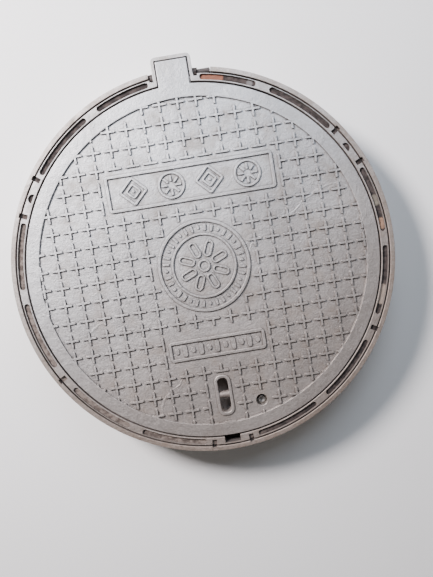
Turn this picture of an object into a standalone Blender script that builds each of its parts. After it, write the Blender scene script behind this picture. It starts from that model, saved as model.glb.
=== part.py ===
"""Hinged, height-adjustable manhole cover. Metres, +Z up, hinge towards +Y.

The outer frame is a sleeve set in the ground. The inner frame stands on its
lugs and can be raised. The cover hinges on the inner frame, and a cam under
it turns below the seat to lock it.
"""

import math

import bmesh
import bpy

# Driving dimensions. Radii and places are from the cover's own centre.
TOP = 0.110
SEGMENTS = 96
TOUCH_GAP = 0.0003
FINE_MERGE = 0.00001

RING_R = 0.380
RING_INNER_R = 0.371
SLEEVE_R = 0.378
FOOT_HEIGHT = 0.010
BAND_HEIGHT = 0.014

FLANGE_R = 0.3683
FLANGE_THICKNESS = 0.010
WALL_R = 0.357
WALL_INNER_R = 0.353
SKIRT_INNER_R = 0.350
SKIRT_BOTTOM = 0.014
CLEAR_R = 0.328
SEAT_DEPTH = 0.028
SEAT_THICKNESS = 0.012

COVER_R = 0.3505
COVER_DRAFT = 0.0035
COVER_FIELD_R = 0.3245
RIM_THICKNESS = 0.022
FIELD_DEPTH = 0.0035
PLATE_THICKNESS = 0.0125

PIN_Y = 0.370
PIN_DEPTH = 0.012
PIN_R = 0.0053
PIN_CLEARANCE = 0.0003
PIN_TAIL_X = 0.073
HEAD_R = 0.0088
SPLIT_PIN_X = 0.0448
TAB_HALF_WIDTH = 0.031
TAB_R = 0.0295
POCKET_HALF_WIDTH = 0.033
POCKET_WALL = 0.006
POCKET_INNER_Y = 0.4018
POCKET_END_Y = 0.4062
STOP_ANGLE = math.radians(110)

PATTERN_Y = -0.0037
MEDALLION_R = 0.0890
RIDGE_WIDTH = 0.0055
LARGE_PLATE = ((-0.166, 0.126), (0.166, 0.198))
SMALL_PLATE = ((-0.097, -0.1865), (0.097, -0.146))

SLOT_X = -0.0025
SLOT_Y = -0.2683
SLOT_LENGTH = 0.0700
SLOT_WIDTH = 0.0210
LIP_LENGTH = 0.0830
LIP_WIDTH = 0.0330
LIP_CORNER_R = 0.014
BAR_R = 0.0073
BAR_DEPTH = 0.0095
CUP_SIZE = (0.062, 0.083)

LOCK_X = 0.0707
LOCK_Y = -0.2905
LOCK_HOLE_R = 0.0115
LOCK_BOSS_BOTTOM = 0.078
SKIRT_RIB_BOTTOM = 0.079
SLEEVE_SCREW_OUT = 0.0143
CUP_SCREW_X = 0.0245
CAM_SQUARE = 0.0084
CAM_REACH = 0.041

# The frame's box runs from the ring's edge to the hinge pocket's end, and
# the part's origin is below the middle of that box.
CENTRE_Y = (RING_R - POCKET_END_Y) / 2

PIN_Z = TOP - PIN_DEPTH
BAR_Z = TOP - BAR_DEPTH
SEAT_Z = TOP - SEAT_DEPTH
SEAT_BOTTOM = SEAT_Z - SEAT_THICKNESS
RIM_BOTTOM = TOP - RIM_THICKNESS
FIELD_Z = TOP - FIELD_DEPTH
PLATE_BOTTOM = FIELD_Z - PLATE_THICKNESS
FLANGE_BOTTOM = TOP - FLANGE_THICKNESS

CAST_IRON = ("cast_iron", (0.44, 0.44, 0.45), 0.6, 0.35)
FRAME_IRON = ("frame_iron", (0.40, 0.40, 0.41), 0.62, 0.35)
STEEL = ("steel", (0.55, 0.55, 0.55), 0.35, 1.0)
RUBBER = ("rubber", (0.03, 0.03, 0.03), 0.85, 0.0)
CUP_PLASTIC = ("cup_plastic", (0.05, 0.05, 0.055), 0.55, 0.0)


def clear_scene():
    for item in list(bpy.data.objects):
        bpy.data.objects.remove(item, do_unlink=True)


def make_collection(name):
    collection = bpy.data.collections.new(name)
    bpy.context.scene.collection.children.link(collection)
    return collection


def make_material(name, finish):
    """A material of the piece's own, with the finish's colour and gloss."""
    _, colour, roughness, metallic = finish
    material = bpy.data.materials.new(name)
    material.use_nodes = True
    shader = material.node_tree.nodes["Principled BSDF"]
    shader.inputs["Base Color"].default_value = (*colour, 1)
    shader.inputs["Roughness"].default_value = roughness
    shader.inputs["Metallic"].default_value = metallic
    return material


def place(item, collection):
    """Hang an object on the datum, which stands at the cover's centre."""
    for holder in list(item.users_collection):
        holder.objects.unlink(item)
    collection.objects.link(item)
    item.parent = datum
    return item


def as_part(item, name, finish, pivot=(0, 0, 0)):
    """Name an object as a part, with its origin at the pivot."""
    item.name = name
    item.data.name = name
    item.data.materials.clear()
    item.data.materials.append(make_material(name, finish))
    item.data.shade_smooth()
    item.data.set_sharp_from_angle(angle=math.radians(35))
    shift = [item.location[k] - pivot[k] for k in range(3)]
    for vertex in item.data.vertices:
        vertex.co = [vertex.co[k] + shift[k] for k in range(3)]
    item.location = pivot
    return place(item, parts)


def as_cutter(item):
    item.hide_render = True
    item.display_type = "WIRE"
    return place(item, cutters)


def combine(item, other, operation):
    modifier = item.modifiers.new(other.name, "BOOLEAN")
    modifier.operation = operation
    modifier.solver = "EXACT"
    modifier.object = as_cutter(other)


def cut(item, *others):
    for other in others:
        combine(item, other, "DIFFERENCE")


def join(item, *others):
    for other in others:
        combine(item, other, "UNION")


def mesh_from_curve(curve, matrix=None):
    """A curve object's solid as a mesh object with welded caps."""
    drawn = bpy.data.objects.new(curve.name, curve)
    bpy.context.scene.collection.objects.link(drawn)
    if matrix:
        drawn.matrix_world = matrix
    bpy.context.view_layer.update()
    evaluated = drawn.evaluated_get(bpy.context.evaluated_depsgraph_get())
    mesh = bpy.data.meshes.new_from_object(evaluated)
    mesh.transform(drawn.matrix_world)
    bpy.data.objects.remove(drawn)
    shape = bmesh.new()
    shape.from_mesh(mesh)
    bmesh.ops.remove_doubles(shape, verts=shape.verts, dist=FINE_MERGE)
    bmesh.ops.recalc_face_normals(shape, faces=shape.faces)
    shape.to_mesh(mesh)
    shape.free()
    return bpy.data.objects.new(curve.name, mesh)


def prisms(name, outlines, low, high):
    """Upright solids over closed outlines of (x, y) points."""
    curve = bpy.data.curves.new(name, "CURVE")
    curve.dimensions = "2D"
    curve.fill_mode = "BOTH"
    curve.extrude = (high - low) / 2
    for outline in outlines:
        spline = curve.splines.new("POLY")
        spline.points.add(len(outline) - 1)
        for point, (x, y) in zip(spline.points, outline):
            point.co = (x, y, 0, 1)
        spline.use_cyclic_u = True
    solid = mesh_from_curve(curve)
    for vertex in solid.data.vertices:
        vertex.co.z += (low + high) / 2
    return solid


def cross_prism(name, outline, half_width):
    """A solid over a (y, z) outline that runs along X."""
    solid = prisms(name, [outline], -half_width, half_width)
    for vertex in solid.data.vertices:
        vertex.co = (vertex.co.z, vertex.co.x, vertex.co.y)
    return solid


def box(name, low, high):
    bpy.ops.mesh.primitive_cube_add(size=1)
    item = bpy.context.object
    item.name = name
    for vertex in item.data.vertices:
        vertex.co = [(low[k] + high[k]) / 2 + vertex.co[k] * (high[k] - low[k]) for k in range(3)]
    return item


def rod(name, radius, start, length, axis="Z", sides=24):
    """A cylinder of a given length from a start point along an axis."""
    bpy.ops.mesh.primitive_cylinder_add(vertices=sides, radius=radius, depth=length)
    item = bpy.context.object
    item.name = name
    order = {"Z": (0, 1, 2), "X": (2, 0, 1)}[axis]
    half = {"Z": (0, 0, length / 2), "X": (length / 2, 0, 0)}[axis]
    for vertex in item.data.vertices:
        turned = [vertex.co[k] for k in order]
        vertex.co = [start[k] + half[k] + turned[k] for k in range(3)]
    return item


def turned(name, profile, centre=(0, 0), segments=SEGMENTS, closed=True):
    """A profile of (radius, z) points, down its outer side, turned about Z."""
    mesh = bpy.data.meshes.new(name)
    vertices = [(radius, 0, z) for radius, z in profile]
    edges = [(k, k + 1) for k in range(len(profile) - 1)]
    if closed:
        edges.append((len(profile) - 1, 0))
    mesh.from_pydata(vertices, edges, [])
    item = bpy.data.objects.new(name, mesh)
    item.location = (*centre, 0)
    screw = item.modifiers.new("turn", "SCREW")
    screw.steps = segments
    screw.render_steps = segments
    screw.use_merge_vertices = True
    screw.merge_threshold = FINE_MERGE
    return item


def as_mesh(item):
    """The piece with its modifiers worked into its mesh."""
    bpy.context.scene.collection.objects.link(item)
    bpy.context.view_layer.update()
    evaluated = item.evaluated_get(bpy.context.evaluated_depsgraph_get())
    mesh = bpy.data.meshes.new_from_object(evaluated)
    item.modifiers.clear()
    item.data = mesh
    return item


def ring_profile(inner, outer, low, high):
    return [(inner, high), (outer, high), (outer, low), (inner, low)]


def around(radius, start, end, steps, centre=(0, 0)):
    """Points on an arc between two angles in radians."""
    return [
        (
            centre[0] + radius * math.cos(start + (end - start) * k / steps),
            centre[1] + radius * math.sin(start + (end - start) * k / steps),
        )
        for k in range(steps + 1)
    ]


def from_hinge(degrees):
    """The angle about Z of a place so many degrees clockwise of the hinge."""
    return math.radians(90 - degrees)


def stadium(centre, width, length, steps=8):
    """A slot outline with round ends, long in Y."""
    radius = width / 2
    reach = length / 2 - radius
    x, y = centre
    return around(radius, 0, math.pi, steps, (x, y + reach)) + around(
        radius, math.pi, 2 * math.pi, steps, (x, y - reach)
    )


def rounded_rectangle(centre, width, length, radius, steps=4):
    x, y = centre
    points = []
    corners = ((1, 1, 0), (-1, 1, 1), (-1, -1, 2), (1, -1, 3))
    for side_x, side_y, quarter in corners:
        corner = (x + side_x * (width / 2 - radius), y + side_y * (length / 2 - radius))
        start = quarter * math.pi / 2
        points += around(radius, start, start + math.pi / 2, steps, corner)
    return points


def radial_box(angle, inner, outer, half_width):
    """Outline of a box that lies along a radius."""
    cos, sin = math.cos(angle), math.sin(angle)
    corners = ((inner, -half_width), (outer, -half_width), (outer, half_width), (inner, half_width))
    return [(r * cos - s * sin, r * sin + s * cos) for r, s in corners]


# Places around the flange, in degrees from the hinge.
FLANGE_SLOTS = ((8, 25.5), (30, 52), (68, 89), (93.5, 115.5), (124.5, 146), (150.5, 171.5))
NOTCHES = (54, 66, 120, 174)
ANCHOR_HOLE = 60
NOTCH_HALF_WIDTH = 0.0047
NOTCH_R = 0.374
SLOT_OUTER_R = 0.366
ANCHOR_R = 0.0085
LUG_INNER_R = 0.3585
LUG_HALF_WIDTH = 0.013
LUG_HEIGHT = 0.016
KEY_HALF_WIDTH = 0.0042
KEY_HEIGHT = 0.002
HINGE_GAP_HALF_WIDTH = 0.048
PRY_HALF_WIDTH = 0.016
PRY_R = 0.365
PRY_DEPTH = 0.024
RECESS_LENGTH = 0.0078


def both_sides(places):
    return [from_hinge(side * place_) for place_ in places for side in (1, -1)]


def curved_slot(start, end):
    """Outline of a flange slot that follows the ring, with round ends."""
    half = (SLOT_OUTER_R - WALL_R) / 2
    middle = WALL_R + half
    turn = half / middle
    first, last = start + turn, end - turn
    steps = max(4, round(math.degrees(last - first) / 3.5))
    outer = around(middle + half, first, last, steps)
    inner = around(middle - half, last, first, steps)
    ends = []
    for angle, begin in ((last, last), (first, first + math.pi)):
        centre = (middle * math.cos(angle), middle * math.sin(angle))
        ends.append(around(half, begin, begin + math.pi, 6, centre)[1:-1])
    return outer + ends[0] + inner + ends[1]


def outer_frame():
    """Sleeve ring with a foot, a top band and lugs for the inner frame."""
    lug_top = FLANGE_BOTTOM - TOUCH_GAP
    band_bottom = TOP - BAND_HEIGHT
    profile = [
        (RING_INNER_R, TOP),
        (RING_R, TOP),
        (RING_R, band_bottom),
        (SLEEVE_R, band_bottom - 0.004),
        (SLEEVE_R, FOOT_HEIGHT + 0.004),
        (RING_R, FOOT_HEIGHT),
        (RING_R, 0),
        (RING_INNER_R, 0),
    ]
    frame = as_part(turned("outer_frame", profile), "outer_frame", FRAME_IRON)
    angles = both_sides(NOTCHES)
    lugs = [radial_box(a, LUG_INNER_R, RING_INNER_R + 0.003, LUG_HALF_WIDTH) for a in angles]
    keys = [radial_box(a, LUG_INNER_R + 0.001, RING_INNER_R + 0.002, KEY_HALF_WIDTH) for a in angles]
    join(frame, prisms("lug_blocks", lugs, lug_top - LUG_HEIGHT, lug_top))
    join(frame, prisms("lug_keys", keys, lug_top - LUG_HEIGHT / 2, lug_top + KEY_HEIGHT))
    notches = [radial_box(a, RING_INNER_R - 0.001, NOTCH_R, NOTCH_HALF_WIDTH) for a in angles]
    cut(
        frame,
        prisms("band_notches", notches, lug_top + KEY_HEIGHT / 2, TOP + 0.01),
        box(
            "hinge_gap",
            (-HINGE_GAP_HALF_WIDTH, RING_INNER_R - 0.03, FOOT_HEIGHT + 0.001),
            (HINGE_GAP_HALF_WIDTH, RING_R + 0.01, TOP + 0.01),
        ),
        box(
            "pin_groove",
            (HINGE_GAP_HALF_WIDTH - 0.001, PIN_Y - 0.012, PIN_Z - 0.008),
            (PIN_TAIL_X + 0.003, RING_R + 0.01, TOP + 0.01),
        ),
    )
    return frame


def inner_frame():
    """Seat ring with a skirt, a slotted flange and the hinge pocket."""
    profile = [
        (WALL_INNER_R, TOP),
        (FLANGE_R, TOP),
        (FLANGE_R, FLANGE_BOTTOM),
        (WALL_R, FLANGE_BOTTOM),
        (WALL_R, SKIRT_BOTTOM),
        (SKIRT_INNER_R, SKIRT_BOTTOM),
        (SKIRT_INNER_R, SEAT_BOTTOM),
        (CLEAR_R, SEAT_BOTTOM + 0.002),
        (CLEAR_R, SEAT_Z),
        (WALL_INNER_R, SEAT_Z),
    ]
    frame = as_part(turned("inner_frame", profile), "inner_frame", FRAME_IRON)
    outer_half = POCKET_HALF_WIDTH + POCKET_WALL
    corner_r = 0.009
    corner_x, corner_y = outer_half - corner_r, POCKET_END_Y - corner_r
    root_y = WALL_INNER_R + 0.001
    pocket = (
        [(outer_half, root_y)]
        + around(corner_r, 0, math.pi / 2, 6, (corner_x, corner_y))
        + around(corner_r, math.pi / 2, math.pi, 6, (-corner_x, corner_y))
        + [(-outer_half, root_y)]
    )
    boss_y = -PRY_R - 0.0025
    boss = [(-0.020, boss_y), (0.020, boss_y), (0.020, -0.355), (-0.020, -0.355)]
    join(
        frame,
        prisms("pocket_wall", [pocket], SKIRT_BOTTOM, TOP),
        prisms("pry_boss", [boss], TOP - PRY_DEPTH - 0.006, TOP),
    )
    slots = []
    for start, end in FLANGE_SLOTS:
        slots.append(curved_slot(from_hinge(end), from_hinge(start)))
        slots.append(curved_slot(from_hinge(-start), from_hinge(-end)))
    notches = [radial_box(a, WALL_R, FLANGE_R + 0.002, NOTCH_HALF_WIDTH) for a in both_sides(NOTCHES)]
    anchors = []
    for angle in both_sides((ANCHOR_HOLE,)):
        centre = (WALL_R * math.cos(angle), WALL_R * math.sin(angle))
        anchors.append(around(ANCHOR_R, angle - math.pi / 2, angle + math.pi / 2, 8, centre))
    below = FLANGE_BOTTOM - 0.004
    above = TOP + 0.01
    side = outer_half + RECESS_LENGTH
    head_y = PIN_Y - HEAD_R - 0.0007
    tail_y = PIN_Y - PIN_R - 0.0006
    tail_x = PIN_TAIL_X + 0.003
    far_y = PIN_Y + 0.01
    recesses = [
        [(-side, head_y), (-outer_half, head_y), (-outer_half, far_y), (-side, far_y)],
        [
            (outer_half, head_y),
            (side, head_y),
            (side, tail_y),
            (tail_x, tail_y),
            (tail_x, far_y),
            (outer_half, far_y),
        ],
    ]
    stop_y = PIN_Y - TAB_R
    cut(
        frame,
        prisms("flange_slots", slots, below, above),
        prisms("flange_notches", notches, below, above),
        prisms("anchor_holes", anchors, below, above),
        prisms("pin_recesses", recesses, below, above),
        box(
            "pocket_space",
            (-POCKET_HALF_WIDTH, stop_y, 0),
            (POCKET_HALF_WIDTH, POCKET_INNER_Y, above),
        ),
        rod("pin_bore", PIN_R + PIN_CLEARANCE, (-0.06, PIN_Y, PIN_Z), 0.12, "X"),
        box(
            "pry_pocket",
            (-PRY_HALF_WIDTH, -PRY_R, TOP - PRY_DEPTH),
            (PRY_HALF_WIDTH, -SKIRT_INNER_R, above),
        ),
    )
    return frame


def seat_gasket():
    profile = ring_profile(0.330, 0.3407, SEAT_Z + TOUCH_GAP, RIM_BOTTOM - TOUCH_GAP)
    return as_part(turned("seat_gasket", profile), "seat_gasket", RUBBER)


def tab_outline():
    """Hinge tab from the side: flat on top, round about the pin."""
    root = COVER_FIELD_R + 0.004
    start = math.asin(PIN_DEPTH / TAB_R)
    end = math.asin((RIM_THICKNESS - PIN_DEPTH) / TAB_R) - math.pi
    arc = around(TAB_R, start, end, 24, (PIN_Y, PIN_Z))
    return [(root, TOP)] + arc + [(root, RIM_BOTTOM)]


def heel_centre():
    """Where the heel sits at rest, so that it meets the seat when open."""
    reach = 0.005
    landed = -math.acos((reach + 0.0005) / TAB_R - 1)
    angle = landed + STOP_ANGLE
    return reach, PIN_Y + TAB_R * math.cos(angle), PIN_Z + TAB_R * math.sin(angle)


def cover():
    """Ribbed cover with a sunk field, hinge tab, lifting slot and lock hole."""
    profile = [
        (0, FIELD_Z),
        (COVER_FIELD_R - 0.0005, FIELD_Z),
        (COVER_FIELD_R + 0.0005, TOP),
        (COVER_R - 0.001, TOP),
        (COVER_R, TOP - 0.001),
        (COVER_R - COVER_DRAFT, RIM_BOTTOM),
        (0.322, RIM_BOTTOM),
        (0.321, SKIRT_RIB_BOTTOM),
        (0.314, SKIRT_RIB_BOTTOM),
        (0.312, PLATE_BOTTOM),
        (0.209, PLATE_BOTTOM),
        (0.207, 0.066),
        (0.201, 0.066),
        (0.199, PLATE_BOTTOM),
        (0.096, PLATE_BOTTOM),
        (0.094, 0.056),
        (0.086, 0.056),
        (0.084, PLATE_BOTTOM),
        (0, PLATE_BOTTOM),
    ]
    hinge = (0, PIN_Y, PIN_Z)
    plate = as_mesh(turned("cover", profile, closed=False))
    plate = as_part(plate, "cover", CAST_IRON, hinge)
    inside = PLATE_BOTTOM + 0.004
    rib = [(0.090, inside), (0.316, inside), (0.316, 0.077), (0.260, 0.075), (0.204, 0.068), (0.090, 0.058)]
    ribs = []
    for k in range(8):
        spoke = cross_prism(f"rib_{k}", rib, 0.004)
        turn_about_z(spoke, (k + 0.5) * math.pi / 4)
        ribs.append(spoke)
    slot = (SLOT_X, SLOT_Y)
    medallion = ring_profile(
        MEDALLION_R - RIDGE_WIDTH / 2, MEDALLION_R + RIDGE_WIDTH / 2, PLATE_BOTTOM + 0.004, TOP
    )
    reach, heel_y, heel_z = heel_centre()
    join(
        plate,
        cross_prism("tab", tab_outline(), TAB_HALF_WIDTH),
        rod("heel", reach, (-TAB_HALF_WIDTH + 0.001, heel_y, heel_z), 2 * TAB_HALF_WIDTH - 0.002, "X", 16),
        *ribs,
        prisms("slot_boss", [rounded_rectangle(slot, *CUP_SIZE, 0.008)], RIM_BOTTOM, inside),
        prisms("slot_lip", [rounded_rectangle(slot, LIP_WIDTH, LIP_LENGTH, LIP_CORNER_R)], inside, TOP),
        rod("lock_boss", 0.022, (LOCK_X, LOCK_Y, LOCK_BOSS_BOTTOM), inside - LOCK_BOSS_BOTTOM, sides=32),
        turned("medallion_ring", medallion, (0, PATTERN_Y), 48),
        plate_border("large_plate_border", *LARGE_PLATE),
        plate_border("small_plate_border", *SMALL_PLATE),
    )
    cut(
        plate,
        rod("tab_bore", PIN_R + PIN_CLEARANCE, (-0.06, PIN_Y, PIN_Z), 0.12, "X"),
        prisms("slot_hole", [stadium(slot, SLOT_WIDTH, SLOT_LENGTH)], RIM_BOTTOM - 0.01, TOP + 0.01),
        rod("bar_bore", BAR_R + TOUCH_GAP, (SLOT_X - 0.0143, SLOT_Y, BAR_Z), 0.0286, "X"),
        rod("lock_hole", LOCK_HOLE_R, (LOCK_X, LOCK_Y, 0.07), 0.05, sides=32),
        *screw_holes(-0.002),
    )
    return plate


def plate_border(name, low, high):
    """A raised rectangular ridge around a sunk name plate."""
    centre = ((low[0] + high[0]) / 2, (low[1] + high[1]) / 2)
    size = (high[0] - low[0], high[1] - low[1])
    inside = PLATE_BOTTOM + 0.004
    border = prisms(name, [rounded_rectangle(centre, *size, 0.004, 2)], inside, TOP)
    hollow = rounded_rectangle(centre, *[side - 2 * RIDGE_WIDTH for side in size], 0.002, 2)
    cut(border, prisms(name + "_inside", [hollow], inside - 0.001, TOP + 0.001))
    return border


def turn_about_z(item, angle):
    """Turn a piece from the +Y direction to an angle about Z."""
    cos, sin = math.cos(angle), math.sin(angle)
    for vertex in item.data.vertices:
        x, y, z = vertex.co
        vertex.co = (x * cos - y * sin, x * sin + y * cos, z)


def hinge_pin():
    """Steel pin with a low domed head, held by the split pin in its tail."""
    head_x = -(POCKET_HALF_WIDTH + POCKET_WALL + TOUCH_GAP)
    shank = rod("hinge_pin", PIN_R, (head_x - 0.001, PIN_Y, PIN_Z), PIN_TAIL_X - head_x + 0.001, "X")
    pin = as_part(shank, "hinge_pin", STEEL, (0, PIN_Y, PIN_Z))
    bevel = pin.modifiers.new("end", "BEVEL")
    bevel.width = 0.0008
    bevel.segments = 1
    bevel.limit_method = "ANGLE"
    join(pin, rod("pin_head", HEAD_R, (head_x - 0.005, PIN_Y, PIN_Z), 0.005, "X"))
    cut(pin, rod("split_pin_hole", 0.0019, (SPLIT_PIN_X, PIN_Y, PIN_Z - 0.01), 0.02, sides=12))
    return pin


def hinge_washer():
    wall_x = POCKET_HALF_WIDTH + POCKET_WALL + TOUCH_GAP
    washer = rod("hinge_washer", HEAD_R, (wall_x, PIN_Y, PIN_Z), 0.003, "X")
    washer = as_part(washer, "hinge_washer", STEEL)
    cut(washer, rod("washer_bore", PIN_R + PIN_CLEARANCE, (wall_x - 0.01, PIN_Y, PIN_Z), 0.02, "X"))
    return washer


def split_pin():
    """Round wire down through the hinge pin, with an eye above it."""
    curve = bpy.data.curves.new("split_pin", "CURVE")
    curve.dimensions = "3D"
    curve.bevel_depth = 0.0012
    curve.bevel_resolution = 2
    curve.use_fill_caps = True
    eye_z = PIN_Z + PIN_R + 0.0034
    eye_r = 0.0018
    eye = around(eye_r, -math.pi / 2, math.pi * 1.2, 12, (PIN_Y, eye_z))
    route = [(PIN_Y, PIN_Z - 0.010), (PIN_Y, PIN_Z)] + eye
    spline = curve.splines.new("POLY")
    spline.points.add(len(route) - 1)
    for point, (y, z) in zip(spline.points, route):
        point.co = (SPLIT_PIN_X, y, z, 1)
    return as_part(mesh_from_curve(curve), "split_pin", STEEL)


def lifting_bar():
    bar = rod("lifting_bar", BAR_R, (SLOT_X - 0.014, SLOT_Y, BAR_Z), 0.028, "X")
    return as_part(bar, "lifting_bar", STEEL)


def lifting_cup():
    """Dust cup that closes the lifting slot from below."""
    top = RIM_BOTTOM - TOUCH_GAP
    slot = (SLOT_X, SLOT_Y)
    flange = prisms("lifting_cup", [rounded_rectangle(slot, *CUP_SIZE, 0.008)], top - 0.003, top)
    cup = as_part(flange, "lifting_cup", CUP_PLASTIC)
    join(cup, prisms("cup_body", [stadium(slot, 0.034, 0.0815)], 0.062, top - 0.001))
    cut(
        cup,
        prisms("cup_space", [stadium(slot, 0.029, 0.077)], 0.0645, top + 0.001),
        *screw_holes(-0.009, "cup"),
    )
    return cup


def lock_sleeve():
    """Flanged bush in the lock hole. The spindle's head turns in its top."""
    profile = [
        (0.0076, 0.0940),
        (0.0112, 0.0940),
        (0.0112, 0.0777),
        (0.0175, 0.0777),
        (0.0175, 0.0735),
        (0.0063, 0.0735),
        (0.0063, 0.0880),
        (0.0076, 0.0880),
    ]
    sleeve = turned("lock_sleeve", profile, (LOCK_X, LOCK_Y), 32)
    sleeve = as_part(sleeve, "lock_sleeve", STEEL, (LOCK_X, LOCK_Y, 0))
    cut(sleeve, *screw_holes(-0.009, "lock"))
    return sleeve


def screw_places():
    """Name, place, hole foot, shank radius and flange thickness of each screw."""
    left, right = LOCK_X - SLEEVE_SCREW_OUT, LOCK_X + SLEEVE_SCREW_OUT
    return (
        ("cup_screw_left", SLOT_X - CUP_SCREW_X, SLOT_Y, RIM_BOTTOM, 0.0020, 0.0033),
        ("cup_screw_right", SLOT_X + CUP_SCREW_X, SLOT_Y, RIM_BOTTOM, 0.0020, 0.0033),
        ("lock_screw_left", left, LOCK_Y, LOCK_BOSS_BOTTOM, 0.0015, 0.0045),
        ("lock_screw_right", right, LOCK_Y, LOCK_BOSS_BOTTOM, 0.0015, 0.0045),
    )


def screw_holes(start, only=""):
    """Cutters for the screws whose name starts so, from below to above."""
    return [
        rod(f"{name}_hole", radius + TOUCH_GAP, (x, y, low + start), 0.011, sides=12)
        for name, x, y, low, radius, _ in screw_places()
        if name.startswith(only)
    ]


def screws():
    """Four pan-head screws, each its own piece."""
    for name, x, y, low, radius, flange in screw_places():
        seat = low - flange - TOUCH_GAP
        head = radius * 1.9
        tip = low + 0.008
        profile = [
            (0, tip),
            (radius * 0.8, tip),
            (radius, tip - 0.0005),
            (radius, seat),
            (head, seat),
            (head, seat - 0.0014),
            (head * 0.7, seat - 0.0024),
            (0, seat - 0.0024),
        ]
        as_part(turned(name, profile, (x, y), 12, closed=False), name, STEEL, (x, y, 0))


def lock_spindle():
    """Spindle with a five-sided drive hole, a square for the cam and a thread."""
    profile = [
        (0, 0.1000),
        (0.0066, 0.1000),
        (0.0070, 0.0996),
        (0.0070, 0.0906),
        (0.0060, 0.0906),
        (0.0060, 0.0700),
        (0.0038, 0.0700),
        (0.0038, 0.0490),
        (0, 0.0490),
    ]
    spindle = turned("lock_spindle", profile, (LOCK_X, LOCK_Y), 32, closed=False)
    spindle = as_part(spindle, "lock_spindle", STEEL, (LOCK_X, LOCK_Y, 0))
    half = CAM_SQUARE / 2
    square = [(LOCK_X + sx * half, LOCK_Y + sy * half) for sx, sy in ((-1, -1), (1, -1), (1, 1), (-1, 1))]
    join(spindle, prisms("cam_square", [square], 0.0602, 0.0708))
    drive = around(0.0042, 0, math.tau * 4 / 5, 4, (LOCK_X, LOCK_Y))
    cut(spindle, prisms("drive_hole", [drive], 0.0950, 0.11))
    return spindle


def lock_rings():
    """Seal ring under the head, spring washer and washer about the cam."""
    centre = (LOCK_X, LOCK_Y)
    seal = ring_profile(0.0063, 0.0072, 0.0883, 0.0903)
    as_part(turned("lock_seal_ring", seal, centre, 24), "lock_seal_ring", RUBBER, (*centre, 0))
    dished = [(0.0066, 0.0732), (0.0074, 0.0732), (0.0115, 0.0712), (0.0115, 0.0700), (0.0107, 0.0700), (0.0066, 0.0720)]
    as_part(turned("lock_spring_washer", dished, centre, 24), "lock_spring_washer", STEEL, (*centre, 0))
    flat = ring_profile(0.0041, 0.0090, 0.0580, 0.0597)
    as_part(turned("lock_cam_washer", flat, centre, 24), "lock_cam_washer", STEEL, (*centre, 0))


def lock_cam():
    """Latch arm, drawn unlocked: it turns a quarter turn below the seat."""
    arm = (
        around(0.011, math.pi / 2, math.pi * 3 / 2, 10, (0, 0))
        + around(0.008, -math.pi / 2, math.pi / 2, 8, (CAM_REACH - 0.008, 0))
    )
    outward = math.atan2(LOCK_Y, LOCK_X)
    angle = outward + math.pi / 2
    cos, sin = math.cos(angle), math.sin(angle)
    outline = [(LOCK_X + x * cos - y * sin, LOCK_Y + x * sin + y * cos) for x, y in arm]
    cam = prisms("lock_cam", [outline], 0.0600, 0.0690)
    cam = as_part(cam, "lock_cam", STEEL, (LOCK_X, LOCK_Y, 0))
    half = CAM_SQUARE / 2 + TOUCH_GAP
    square = [(LOCK_X + sx * half, LOCK_Y + sy * half) for sx, sy in ((-1, -1), (1, -1), (1, 1), (-1, 1))]
    cut(cam, prisms("cam_hole", [square], 0.05, 0.08))
    return cam


def lock_nut():
    hexagon = around(0.0075, 0, math.tau * 5 / 6, 5, (LOCK_X, LOCK_Y))
    nut = prisms("lock_nut", [hexagon], 0.0510, 0.0577)
    nut = as_part(nut, "lock_nut", STEEL, (LOCK_X, LOCK_Y, 0))
    cut(nut, rod("nut_bore", 0.0041, (LOCK_X, LOCK_Y, 0.04), 0.03, sides=24))
    return nut


clear_scene()
parts = make_collection("manhole_cover")
cutters = make_collection("cutters")
datum = bpy.data.objects.new("cover_centre", None)
datum.location = (0, CENTRE_Y, 0)
parts.objects.link(datum)

outer_frame()
inner_frame()
seat_gasket()
cover()
hinge_pin()
hinge_washer()
split_pin()
lifting_bar()
lifting_cup()
lock_sleeve()
screws()
lock_spindle()
lock_rings()
lock_cam()
lock_nut()
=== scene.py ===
import math
from collections import namedtuple
from functools import partial

import bmesh
import bpy
from mathutils import Matrix, Vector, noise


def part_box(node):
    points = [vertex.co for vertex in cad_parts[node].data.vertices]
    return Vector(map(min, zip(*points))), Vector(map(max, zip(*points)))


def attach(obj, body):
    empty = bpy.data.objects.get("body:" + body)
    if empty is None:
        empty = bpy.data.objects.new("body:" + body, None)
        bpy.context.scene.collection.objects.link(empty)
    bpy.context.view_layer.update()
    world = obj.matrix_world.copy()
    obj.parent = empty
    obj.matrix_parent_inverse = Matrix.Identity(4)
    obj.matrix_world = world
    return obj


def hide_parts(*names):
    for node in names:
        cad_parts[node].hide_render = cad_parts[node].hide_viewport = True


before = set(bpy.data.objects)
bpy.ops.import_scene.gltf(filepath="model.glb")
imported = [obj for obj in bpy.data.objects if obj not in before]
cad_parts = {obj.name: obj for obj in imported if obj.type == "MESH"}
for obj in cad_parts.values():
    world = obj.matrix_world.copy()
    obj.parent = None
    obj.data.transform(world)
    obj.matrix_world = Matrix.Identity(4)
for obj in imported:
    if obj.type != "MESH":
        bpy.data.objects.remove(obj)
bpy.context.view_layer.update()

# Looks of a hinged cast iron manhole cover, in metres. Shapes are built round the
# cover's centre and then moved into the CAD's own frame.

# ---------------------------------------------------------------- CAD places

ring_low, ring_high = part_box("outer_frame")
inner_low, inner_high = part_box("inner_frame")
cover_low, cover_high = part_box("cover")
pin_low, pin_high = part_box("hinge_pin")
bar_low, bar_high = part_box("lifting_bar")
spindle_low, spindle_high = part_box("lock_spindle")

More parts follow.
